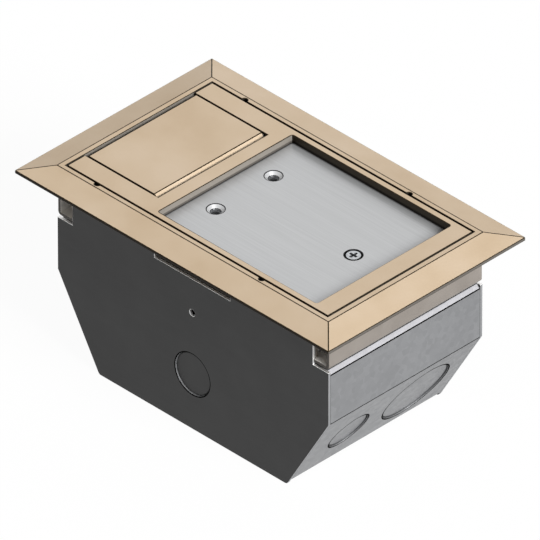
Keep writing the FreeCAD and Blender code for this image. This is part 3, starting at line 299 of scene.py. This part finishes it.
def makeGalvanised(name, finish):
    material, tree, shader, space = startMaterial(name, finish)
    where = space.outputs["Object"]
    crystals = addNode(
        tree, "TexVoronoi", {"Scale": 1 / finish["spangle"], "Randomness": 1.0}, {"Vector": where}
    )
    cell = addNode(tree, "SeparateColor", {}, {"Color": crystals.outputs["Color"]})
    smear = addNode(tree, "TexNoise", {"Scale": 1 / finish["smear"], "Detail": 4.0}, {"Vector": where})
    mixed = addNode(
        tree, "Math", {"operation": "MULTIPLY_ADD", 1: finish["crystalShare"]},
        {0: cell.outputs["Red"], 2: smear},
    )
    tone = addNode(tree, "ValToRGB", {"stops": finish["tones"]}, {"Fac": mixed})
    polish = addPolish(tree, cell.outputs["Green"], finish)
    bump = addNode(
        tree, "Bump", {"Strength": finish["bump"], "Distance": finish["relief"]}, {"Height": smear}
    )
    # painted light: faces leaning up towards the ends are painted lighter
    facing = addNode(tree, "SeparateXYZ", {}, {"Vector": space.outputs["Normal"]})
    endwise = addNode(tree, "Math", {"operation": "ABSOLUTE"}, {0: facing.outputs["X"]})
    lean = addNode(tree, "Math", {"operation": "MULTIPLY"}, {0: endwise, 1: facing.outputs["Z"]})
    upLit = addNode(tree, "Math", {"operation": "GREATER_THAN", 1: finish["bendLean"]}, {0: lean})
    colour = addNode(tree, "MixRGB", {"Color2": finish["bend"]}, {"Fac": upLit, "Color1": tone})
    colour = addCornerShade(tree, colour, finish)
    colour, metal = addLines(tree, shader, where, colour, polish, finish)
    tree.links.new(colour.outputs["Color"], shader.inputs["Base Color"])
    tree.links.new(bump.outputs["Normal"], shader.inputs["Normal"])
    return material


# Rolled steel sheet, its faces painted a dull charcoal as painted shade, with sheared edges of bare
# steel, grey round the outline and painted near white as painted light in the notches at the top.
darkSheet = {
    # painted shade: the faces are painted charcoal all over
    "tones": [(0.55, "#1C1C1C"), (0.75, "#202020"), (0.95, "#252525")],
    "cutEdge": "#8B8C8E",
    # painted light: edges in the notches and the fixing hole are painted near white
    "litEdge": "#F6F6F6",
    "shearedTo": 0.5,           # how far the edge's look goes round onto the faces, 1 for all the way
    "litEdgeTo": 0.9,
    "litNotchesAbove": 94.3 * mm,
    "litHoleAbove": 60 * mm,     # the fixing hole is above this and between the ends
    "litHoleWithin": 90 * mm,
    "knockouts": [{"centre": (0, 0, 38.5 * mm), "square": (0, 1, 0), "radius": 14.05 * mm}],
    "line": "#080808",
    "lineFrom": 0,
    "lineWidth": 0.7 * mm,
    "lineReach": 100 * mm,      # both panels, whatever their distance from the middle
    "bends": [],
    "cornerShade": "#0C0C0C",
    "metallic": 0.15,
    "roughness": 0.5,
    "polish": (0.06, 0.08),
    "rolling": 2.4 * mm,        # rolling marks are far finer, drawn as wide as a render can show
    "rollingLength": 70 * mm,
    "rollingShare": 0.5,        # how much they count beside the smear
    "smear": 30 * mm,
    "cornerShadeReach": 2.2 * mm,
}


def makeDarkSheet(name, finish):
    material, tree, shader, space = startMaterial(name, finish)
    where = space.outputs["Object"]
    along = addNode(
        tree, "Mapping",
        {"Scale": (1 / finish["rollingLength"], 1 / finish["rolling"], 1 / finish["rolling"])},
        {"Vector": where},
    )
    marks = addNode(tree, "TexNoise", {"Scale": 1.0, "Detail": 4.0}, {"Vector": along})
    smear = addNode(tree, "TexNoise", {"Scale": 1 / finish["smear"], "Detail": 3.0}, {"Vector": where})
    both = addNode(
        tree, "Math", {"operation": "MULTIPLY_ADD", 1: finish["rollingShare"]}, {0: marks, 2: smear}
    )
    tone = addNode(tree, "ValToRGB", {"stops": finish["tones"]}, {"Fac": both})
    polish = addPolish(tree, marks, finish)

    # painted light: the edges in the notches above the body, and in the fixing hole over the knockout
    place = addNode(tree, "SeparateXYZ", {}, {"Vector": where})
    facing = addNode(tree, "SeparateXYZ", {}, {"Vector": space.outputs["Normal"]})
    inNotches = addNode(
        tree, "Math", {"operation": "GREATER_THAN", 1: finish["litNotchesAbove"]}, {0: place.outputs["Z"]}
    )
    overKnockout = addNode(
        tree, "Math", {"operation": "GREATER_THAN", 1: finish["litHoleAbove"]}, {0: place.outputs["Z"]}
    )
    endwise = addNode(tree, "Math", {"operation": "ABSOLUTE"}, {0: place.outputs["X"]})
    between = addNode(tree, "Math", {"operation": "LESS_THAN", 1: finish["litHoleWithin"]}, {0: endwise})
    inHole = addNode(tree, "Math", {"operation": "MULTIPLY"}, {0: overKnockout, 1: between})
    litZone = addNode(tree, "Math", {"operation": "MAXIMUM"}, {0: inNotches, 1: inHole})
    edgeColour = addNode(
        tree, "MixRGB", {"Color1": finish["cutEdge"], "Color2": finish["litEdge"]}, {"Fac": litZone}
    )
    steepest = addNode(
        tree, "MapRange", {"To Min": finish["shearedTo"], "To Max": finish["litEdgeTo"]}, {"Value": litZone}
    )
    across = addNode(tree, "Math", {"operation": "ABSOLUTE"}, {0: facing.outputs["Y"]})
    onEdge = addNode(tree, "Math", {"operation": "LESS_THAN"}, {0: across, 1: steepest})
    colour = addCornerShade(tree, tone, finish)
    colour = addNode(tree, "MixRGB", {}, {"Fac": onEdge, "Color1": colour, "Color2": edgeColour})
    colour, metal = addLines(tree, shader, where, colour, polish, finish)
    litEdgeMetal = addNode(tree, "Math", {"operation": "MULTIPLY"}, {0: onEdge, 1: litZone})
    metal = addNode(tree, "Math", {"operation": "MAXIMUM"}, {0: metal, 1: litEdgeMetal})
    tree.links.new(metal.outputs["Value"], shader.inputs["Metallic"])
    tree.links.new(colour.outputs["Color"], shader.inputs["Base Color"])
    return material


# Cold-rolled steel plate, brushed along the box: fine straight lines and a satin shine.
# Its holes are cut after brushing, so their walls have a plain machined face.
brushedPlate = {
    "tones": [(0.3, "#B4B5B6"), (0.52, "#B9BABB"), (0.72, "#BEBFC0")],
    "cut": "#C4C5C6",
    "cutUnder": 0.06 * mm,      # below the plate's top
    "cornerShade": "#141414",
    "metallic": 0.55,
    "roughness": 0.38,
    "polish": (0.05, 0.07),
    "stretch": 0.4,             # how far the brush lines draw a highlight out
    "line": 0.9 * mm,           # brush lines are about 0.1 mm apart, drawn wider so that they show
    "lineLength": 60 * mm,
    "lineDepth": 0.006 * mm,
    "bump": 0.6,
    "cornerShadeReach": 1.5 * mm,
}


def makeBrushed(name, finish):
    material, tree, shader, space = startMaterial(name, finish)
    where = space.outputs["Object"]
    along = addNode(
        tree, "Mapping",
        {"Scale": (1 / finish["lineLength"], 1 / finish["line"], 1 / finish["line"])},
        {"Vector": where},
    )
    lines = addNode(tree, "TexNoise", {"Scale": 1.0, "Detail": 5.0}, {"Vector": along})
    tone = addNode(tree, "ValToRGB", {"stops": finish["tones"]}, {"Fac": lines})
    polish = addPolish(tree, lines, finish)
    bump = addNode(
        tree, "Bump", {"Strength": finish["bump"], "Distance": finish["lineDepth"]}, {"Height": lines}
    )
    place = addNode(tree, "SeparateXYZ", {}, {"Vector": where})
    sunk = addNode(
        tree, "Math", {"operation": "LESS_THAN", 1: plateHigh.z - finish["cutUnder"]},
        {0: place.outputs["Z"]},
    )
    colour = addNode(tree, "MixRGB", {"Color2": finish["cut"]}, {"Fac": sunk, "Color1": tone})
    colour = addCornerShade(tree, colour, finish)
    alongBox = addNode(tree, "CombineXYZ", {"X": 1.0})
    shader.inputs["Anisotropic"].default_value = finish["stretch"]
    tree.links.new(alongBox.outputs["Vector"], shader.inputs["Tangent"])
    tree.links.new(colour.outputs["Color"], shader.inputs["Base Color"])
    tree.links.new(polish.outputs["Result"], shader.inputs["Roughness"])
    tree.links.new(bump.outputs["Normal"], shader.inputs["Normal"])
    return material


# Uncoated rolled sheet: a plain warm grey outside, where it is handled. Its inner faces and lip tops
# are painted near white as painted light, and its long sides are painted dark as painted shade.
plainSheet = {
    "tones": [(0.3, "#867F78"), (0.5, "#8C857E"), (0.72, "#928B84")],
    # painted light: inner faces and lip tops are painted near white
    "inside": "#F4F2EE",
    "insideUnder": -50 * mm,    # place along the box times the normal's share of it
    "upwards": 0.6,             # a lip's top has a normal that points up by more than this
    # painted shade: the long sides are painted dark
    "oiled": "#38332D",
    "longwise": 0.6,            # and a long side's points across the box by more
    "cornerShade": "#3A3733",
    "metallic": 0.4,
    "roughness": 0.42,
    "smear": 16 * mm,
    "relief": 0.012 * mm,
    "bump": 0.6,
    "cornerShadeReach": 1.2 * mm,
}


def makeSkirtSheet(name, finish):
    material, tree, shader, space = startMaterial(name, finish)
    where = space.outputs["Object"]
    smear = addNode(tree, "TexNoise", {"Scale": 1 / finish["smear"], "Detail": 3.0}, {"Vector": where})
    tone = addNode(tree, "ValToRGB", {"stops": finish["tones"]}, {"Fac": smear})
    bump = addNode(
        tree, "Bump", {"Strength": finish["bump"], "Distance": finish["relief"]}, {"Height": smear}
    )
    place = addNode(tree, "SeparateXYZ", {}, {"Vector": where})
    facing = addNode(tree, "SeparateXYZ", {}, {"Vector": space.outputs["Normal"]})
    outwards = addNode(
        tree, "Math", {"operation": "MULTIPLY"}, {0: facing.outputs["X"], 1: place.outputs["X"]}
    )
    inner = addNode(tree, "Math", {"operation": "LESS_THAN", 1: finish["insideUnder"]}, {0: outwards})
    upwards = addNode(
        tree, "Math", {"operation": "GREATER_THAN", 1: finish["upwards"]}, {0: facing.outputs["Z"]}
    )
    inside = addNode(tree, "Math", {"operation": "MAXIMUM"}, {0: inner, 1: upwards})
    across = addNode(tree, "Math", {"operation": "ABSOLUTE"}, {0: facing.outputs["Y"]})
    longwise = addNode(tree, "Math", {"operation": "GREATER_THAN", 1: finish["longwise"]}, {0: across})
    colour = addCornerShade(tree, tone, finish)
    # painted light: inner faces and lip tops are painted near white
    colour = addNode(tree, "MixRGB", {"Color2": finish["inside"]}, {"Fac": inside, "Color1": colour})
    # painted shade: the long sides are painted dark
    colour = addNode(tree, "MixRGB", {"Color2": finish["oiled"]}, {"Fac": longwise, "Color1": colour})
    tree.links.new(colour.outputs["Color"], shader.inputs["Base Color"])
    tree.links.new(bump.outputs["Normal"], shader.inputs["Normal"])
    return material


# What the finishes of the small pieces share, unless their own lines differ.
smallPiece = {"bump": 0.6, "relief": 0.012 * mm, "cornerShadeReach": 1.2 * mm}

# Small turned and stamped metal parts: tumbled before plating, so a fine mottle and soft highlights.
zincPlate = {
    **smallPiece,
    "tones": [(0.3, "#A4A7AB"), (0.5, "#B9BCBF"), (0.72, "#CBCED0")],
    "cornerShade": "#17181A",
    "metallic": 0.85,
    "roughness": 0.3,
    "grain": 1.4 * mm,
}
brass = {
    **smallPiece,
    "tones": [(0.3, "#B08F45"), (0.5, "#C9A75A"), (0.72, "#D9BC78")],
    "cornerShade": "#2E2412",
    "metallic": 0.95,
    "roughness": 0.28,
    "grain": 1.6 * mm,
}
greenScrew = {
    **smallPiece,
    "tones": [(0.3, "#34703F"), (0.5, "#3E7F4B"), (0.72, "#55965F")],
    "cornerShade": "#0E1A10",
    "metallic": 0.4,
    "roughness": 0.36,
    "grain": 1.8 * mm,
}
goldPlate = {
    **smallPiece,
    "tones": [(0.3, "#C7A24C"), (0.5, "#D8B45E"), (0.72, "#E6C97E")],
    "cornerShade": "#3A2D12",
    "metallic": 1.0,
    "roughness": 0.2,
    "grain": 1.0 * mm,
}

# Injection-moulded plastic: a spark-eroded mould gives a fine even grain and a low sheen.
ivoryPlastic = {
    **smallPiece,
    "tones": [(0.3, "#DBD2BC"), (0.5, "#E2DAC6"), (0.72, "#E9E2D1")],
    "cornerShade": "#6E6755",
    "metallic": 0.0,
    "roughness": 0.38,
    "grain": 1.2 * mm,
}
blackPlastic = {
    **smallPiece,
    "tones": [(0.3, "#1D1E20"), (0.5, "#232426"), (0.72, "#2C2D30")],
    "cornerShade": "#0B0B0C",
    "metallic": 0.0,
    "roughness": 0.42,
    "grain": 1.2 * mm,
}

# Die-cut foam rubber: matt black with open pores.
sealRubber = {
    **smallPiece,
    "tones": [(0.3, "#202020"), (0.5, "#2B2B2A"), (0.72, "#383836")],
    "cornerShade": "#0E0E0E",
    "metallic": 0.0,
    "roughness": 0.82,
    "grain": 0.9 * mm,
    "relief": 0.05 * mm,
}

# Dark oil and polish that stay on the machined edges of holes and screw recesses.
oiledEdge = {
    **smallPiece,
    "tones": [(0.3, "#1E1E1F"), (0.5, "#242425"), (0.72, "#2B2B2C")],
    "cornerShade": "#0D0D0D",
    "metallic": 1.0,
    "roughness": 0.4,
    "grain": 1.2 * mm,
}

# Tapped steel, dulled by the oil left in its thread.
threadSteel = {
    **smallPiece,
    "tones": [(0.3, "#606163"), (0.5, "#6E6F71"), (0.72, "#7C7D7F")],
    "cornerShade": "#141414",
    "metallic": 0.8,
    "roughness": 0.35,
    "grain": 1.4 * mm,
}


def makeGrained(name, finish):
    material, tree, shader, space = startMaterial(name, finish)
    where = space.outputs["Object"]
    grain = addNode(tree, "TexNoise", {"Scale": 1 / finish["grain"], "Detail": 3.0}, {"Vector": where})
    tone = addNode(tree, "ValToRGB", {"stops": finish["tones"]}, {"Fac": grain})
    bump = addNode(
        tree, "Bump", {"Strength": finish["bump"], "Distance": finish["relief"]}, {"Height": grain}
    )
    colour = addCornerShade(tree, tone, finish)
    tree.links.new(colour.outputs["Color"], shader.inputs["Base Color"])
    tree.links.new(bump.outputs["Normal"], shader.inputs["Normal"])
    return material


coat = makePowderCoat("tan powder coat", powderCoat)
thinCoat = makePowderCoat("tan powder coat, thin at the edge", powderCoat, edge=True)
zincSheet = makeGalvanised("galvanised sheet", galvanised)
skirtSheet = makeSkirtSheet("plain rolled sheet", plainSheet)
panelSheet = makeDarkSheet("sheet painted dark as shade", darkSheet)
plateSteel = makeBrushed("brushed steel plate", brushedPlate)
oiled = makeGrained("oiled edge", oiledEdge)
oiledThread = makeGrained("oiled thread", threadSteel)
zinc = makeGrained("zinc plated steel", zincPlate)
contactBrass = makeGrained("brass", brass)
gold = makeGrained("gold plated wire", goldPlate)
earthGreen = makeGrained("green zinc plate", greenScrew)
ivory = makeGrained("ivory moulded plastic", ivoryPlastic)
black = makeGrained("black moulded plastic", blackPlastic)
rubber = makeGrained("foam rubber", sealRubber)
print("finishes made")

# Every node: its finish, its edges' rounding in mm, the angle in degrees past which an edge is
# rounded, and what shows on the rounding where that differs.
frameLook = {
    "trim_frame": (coat, 0.38, 8, thinCoat),
    "frame_skirt": (skirtSheet, 0.2, 20),
    "lid_frame": (coat, 0.45, 30, thinCoat),
    "cable_door": (coat, 0.42, 30, thinCoat),
    "body_wrap": (zincSheet, 0.22, 20),
    "side_panel_front": (panelSheet, 0.3, 30),
    "side_panel_back": (panelSheet, 0.3, 30),
    "floor_plate": (plateSteel, 0.36, 30, oiled),
    "insert_bushes": (zinc, 0.15, 30),
    "latch_screw": (zinc, 0.26, 30, oiled),
    "latch_spacer": (zinc, 0.15, 30),
    "latch_bar": (zinc, 0.2, 30),
    "latch_nut": (zinc, 0.15, 30),
    "floor_plate_screws": (zinc, 0.06, 30),
    "hinge_pins": (zinc, 0.2, 30),
    "lid_gasket": (rubber, 0.15, 30),
    "frame_screws": (zinc, 0.12, 30),
    "frame_spacers": (zinc, 0.12, 30),
    "frame_nuts": (zinc, 0.15, 30),
    "plate_rail_front": (zincSheet, 0.2, 30),
    "plate_rail_back": (zincSheet, 0.2, 30),
    "device_plate": (zincSheet, 0.15, 30),
    "device_plate_screws": (zinc, 0.12, 30),
    "device_yokes": (zinc, 0.12, 30),
    "device_screws": (zinc, 0.12, 30),
    "duplex_socket_a": (ivory, 0.3, 30),
    "duplex_socket_b": (ivory, 0.3, 30),
    "socket_contacts": (contactBrass, 0.05, 30),
    "blank_insert": (ivory, 0.4, 30),
    "data_insert": (ivory, 0.3, 30),
    "data_jacks": (black, 0.25, 30),
    "divider": (zincSheet, 0.2, 30),
    "ground_screw": (earthGreen, 0.15, 30),
}
joining = {"gap": 0.005 * mm, "flatWithin": 0.4, "edgeSteps": 2}      # flatWithin in degrees


# A node's triangles are loose, so they are welded and flat ones joined before the edges are rounded.
def dressNode(name, finish, rounding, sharperThan, onEdges=None):
    node = nodes[name]
    node.data.materials.clear()
    node.data.materials.append(finish)
    weld = node.modifiers.new("weld", "WELD")
    weld.merge_threshold = joining["gap"]
    flat = node.modifiers.new("flat faces", "DECIMATE")
    flat.decimate_type = "DISSOLVE"
    flat.angle_limit = math.radians(joining["flatWithin"])
    edges = node.modifiers.new("rounded edges", "BEVEL")
    edges.width = rounding * mm
    edges.segments = joining["edgeSteps"]
    edges.limit_method = "ANGLE"
    edges.angle_limit = math.radians(sharperThan)
    edges.use_clamp_overlap = False
    if onEdges:
        node.data.materials.append(onEdges)
        edges.material = 1
    node.modifiers.new("even shading", "WEIGHTED_NORMAL")


def deselectAll():
    bpy.ops.object.select_all(action="DESELECT")


bpy.context.view_layer.objects.active = nodes["trim_frame"]
bpy.ops.object.shade_smooth()       # the nodes are still selected after loading
for name, look in frameLook.items():
    dressNode(name, *look)
print("nodes dressed:", len(frameLook))


def settle(piece, body, finish):
    bpy.ops.object.transform_apply(location=True, rotation=True, scale=True)
    piece.data.materials.clear()
    piece.data.materials.append(finish)
    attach(piece, body)


# The threads of the insert bushes: a three-sided section wound up inside each bore.
bushThread = {
    "sides": 3,
    "bore": 3.1 * mm,
    "ridge": 0.42 * mm,
    "pitch": 1 * mm,
    "turns": 5,
    "steps": 36,
    "below": 0.4 * mm,          # the last turn ends this far under the bush's top
    "smoothUnder": 35,          # degrees
}


def addBushThreads():
    deselectAll()
    tipInwards = (math.pi / 2, -math.pi / 2, 0)
    bpy.ops.mesh.primitive_circle_add(
        vertices=bushThread["sides"], radius=bushThread["ridge"], rotation=tipInwards
    )
    thread = bpy.context.object
    thread.name = "bush_thread_back"
    bpy.ops.object.transform_apply(rotation=True)
    bpy.ops.object.mode_set(mode="EDIT")
    bpy.ops.mesh.select_all(action="SELECT")
    bpy.ops.transform.translate(value=(bushThread["bore"], 0, 0))
    bpy.ops.object.mode_set(mode="OBJECT")
    winding = thread.modifiers.new("winding", "SCREW")
    winding.axis = "Z"
    winding.screw_offset = bushThread["pitch"]
    winding.iterations = bushThread["turns"]
    winding.steps = bushThread["steps"]
    winding.render_steps = bushThread["steps"]
    bpy.ops.object.modifier_apply(modifier="winding")
    bpy.ops.object.mode_set(mode="EDIT")
    bpy.ops.mesh.select_all(action="DESELECT")
    bpy.ops.mesh.select_non_manifold()
    bpy.ops.mesh.fill_holes(sides=bushThread["sides"])
    bpy.ops.mesh.select_all(action="SELECT")
    bpy.ops.mesh.normals_make_consistent(inside=False)
    bpy.ops.object.mode_set(mode="OBJECT")
    bpy.ops.object.shade_smooth_by_angle(angle=math.radians(bushThread["smoothUnder"]))

    # the second bush's thread is a copy, moved across the box
    boreX = (bushLow.x + bushHigh.x) / 2
    outer = (bushHigh.x - bushLow.x) / 2
    height = bushThread["pitch"] * bushThread["turns"] + bushThread["below"]
    thread.location = (boreX, bushHigh.y - outer, bushHigh.z - height)
    settle(thread, "lid", oiledThread)
    bpy.ops.object.duplicate(linked=False)
    other = bpy.context.object
    other.name = "bush_thread_front"
    other.location = (0, bushLow.y - bushHigh.y + outer * 2, 0)
    settle(other, "lid", oiledThread)


# The eight gold wires that spring out from the side of each data jack's mouth.
jackWires = {
    "count": 8,
    "pitch": 1.02 * mm,
    "radius": 0.24 * mm,
    "sides": 8,
    "across": 3.2 * mm,         # the foot, from the jack's middle
    "down": 14.6 * mm,          # and from its top
    "bends": [(0, 3 * mm), (-2.6 * mm, 6.4 * mm), (0.7 * mm, 1.1 * mm)],     # aside and up
    "jackWidth": 15 * mm,
    "smoothUnder": 50,          # degrees
}


def addJackWires():
    deselectAll()
    middleX = (jackLow.x + jackHigh.x) / 2
    firstX = middleX - jackWires["pitch"] * (jackWires["count"] - 1) / 2
    middleY = jackHigh.y - jackWires["jackWidth"] / 2
    foot = (firstX, middleY + jackWires["across"], jackHigh.z - jackWires["down"])
    bpy.ops.mesh.primitive_circle_add(
        vertices=jackWires["sides"], radius=jackWires["radius"], fill_type="NGON", location=foot
    )
    wires = bpy.context.object
    wires.name = "jack_wires_back"
    bpy.ops.object.mode_set(mode="EDIT")
    bpy.ops.mesh.select_all(action="SELECT")
    for aside, up in jackWires["bends"]:
        bpy.ops.mesh.extrude_region_move(TRANSFORM_OT_translate={"value": (0, aside, up)})
    bpy.ops.mesh.select_all(action="SELECT")
    bpy.ops.mesh.normals_make_consistent(inside=False)
    bpy.ops.object.mode_set(mode="OBJECT")
    row = wires.modifiers.new("row", "ARRAY")
    row.count = jackWires["count"]
    row.use_relative_offset = False
    row.use_constant_offset = True
    row.constant_offset_displace = (jackWires["pitch"], 0, 0)
    bpy.ops.object.modifier_apply(modifier="row")
    bpy.ops.object.shade_smooth_by_angle(angle=math.radians(jackWires["smoothUnder"]))
    settle(wires, "box", gold)
    bpy.ops.object.duplicate(linked=False)
    other = bpy.context.object
    other.name = "jack_wires_front"
    other.location = (0, jackLow.y + jackWires["jackWidth"] / 2 - middleY, 0)
    settle(other, "box", gold)


addBushThreads()
addJackWires()
deselectAll()
print("threads and jack wires added")

# the camera of the photograph: isometric, so a very long lens far away
view = {
    "target": (0.00016, 0.00016, 0.0805),
    "towards": (1, -1, 1),
    "width": 0.3098,
    "lens": 1550,
    "sensor": 36,
}
distance = view["width"] * view["lens"] / view["sensor"]
direction = Vector(view["towards"]).normalized()
bpy.ops.object.camera_add(location=Vector(view["target"]) + direction * distance)
camera = bpy.context.object
camera.data.lens = view["lens"]
camera.data.sensor_width = view["sensor"]
camera.rotation_euler = direction.to_track_quat("Z", "Y").to_euler()
bpy.context.scene.camera = camera

# a soft key lamp from the right, low, and a weak one from behind; the rest is the room
lamps = [
    {"name": "key lamp", "towards": (0.86, -0.07, 0.52), "strength": 3.95, "softness": 24},
    {"name": "back lamp", "towards": (-0.75, 0.5, 0.43), "strength": 0.1, "softness": 60},
]
lampDistance = 2        # metres; a sun lights the same from any distance
for lamp in lamps:
    bpy.ops.object.light_add(type="SUN", location=Vector(lamp["towards"]) * lampDistance)
    sun = bpy.context.object
    sun.name = lamp["name"]
    sun.data.energy = lamp["strength"]
    sun.data.angle = math.radians(lamp["softness"])
    sun.rotation_euler = Vector(lamp["towards"]).to_track_quat("Z", "Y").to_euler()

# the camera, metal and glass see a white room; matt surfaces get the softer room light
studio = {"white": "#FFFFFF", "roomLight": 0.33, "floor": "#BCBCBC", "floorGlow": 0.95, "floorSize": 6.0}


def seenDirectly(tree):
    path = addNode(tree, "LightPath")
    shiny = addNode(
        tree, "Math", {"operation": "MAXIMUM"},
        {0: path.outputs["Is Glossy Ray"], 1: path.outputs["Is Transmission Ray"]},
    )
    return addNode(tree, "Math", {"operation": "MAXIMUM"}, {0: path.outputs["Is Camera Ray"], 1: shiny})


world = bpy.data.worlds.new("white room")
world.use_nodes = True
bpy.context.scene.world = world
tree = world.node_tree
tree.nodes.clear()
white = addNode(tree, "Background", {"Color": studio["white"], "Strength": 1.0})
soft = addNode(tree, "Background", {"Color": studio["white"], "Strength": studio["roomLight"]})
chosen = addNode(tree, "MixShader", {}, {"Fac": seenDirectly(tree), 1: soft, 2: white})
addNode(tree, "OutputWorld", {}, {"Surface": chosen})

bpy.ops.mesh.primitive_plane_add(size=studio["floorSize"], location=(0, 0, 0))
floor = bpy.context.object
floor.name = "studio_floor"
paper = bpy.data.materials.new("white paper")
paper.use_nodes = True
tree = paper.node_tree
tree.nodes.clear()
matt = addNode(tree, "BsdfDiffuse", {"Color": studio["floor"]})
dim = addNode(tree, "BsdfDiffuse", {"Color": [(1 - studio["floorGlow"])] * 3 + [1]})
glow = addNode(tree, "Emission", {"Strength": studio["floorGlow"]})
pale = addNode(tree, "AddShader", {}, {0: dim, 1: glow})
chosen = addNode(tree, "MixShader", {}, {"Fac": seenDirectly(tree), 1: matt, 2: pale})
addNode(tree, "OutputMaterial", {}, {"Surface": chosen})
floor.data.materials.append(paper)
bpy.context.scene.view_settings.view_transform = "Standard"
print("studio set")
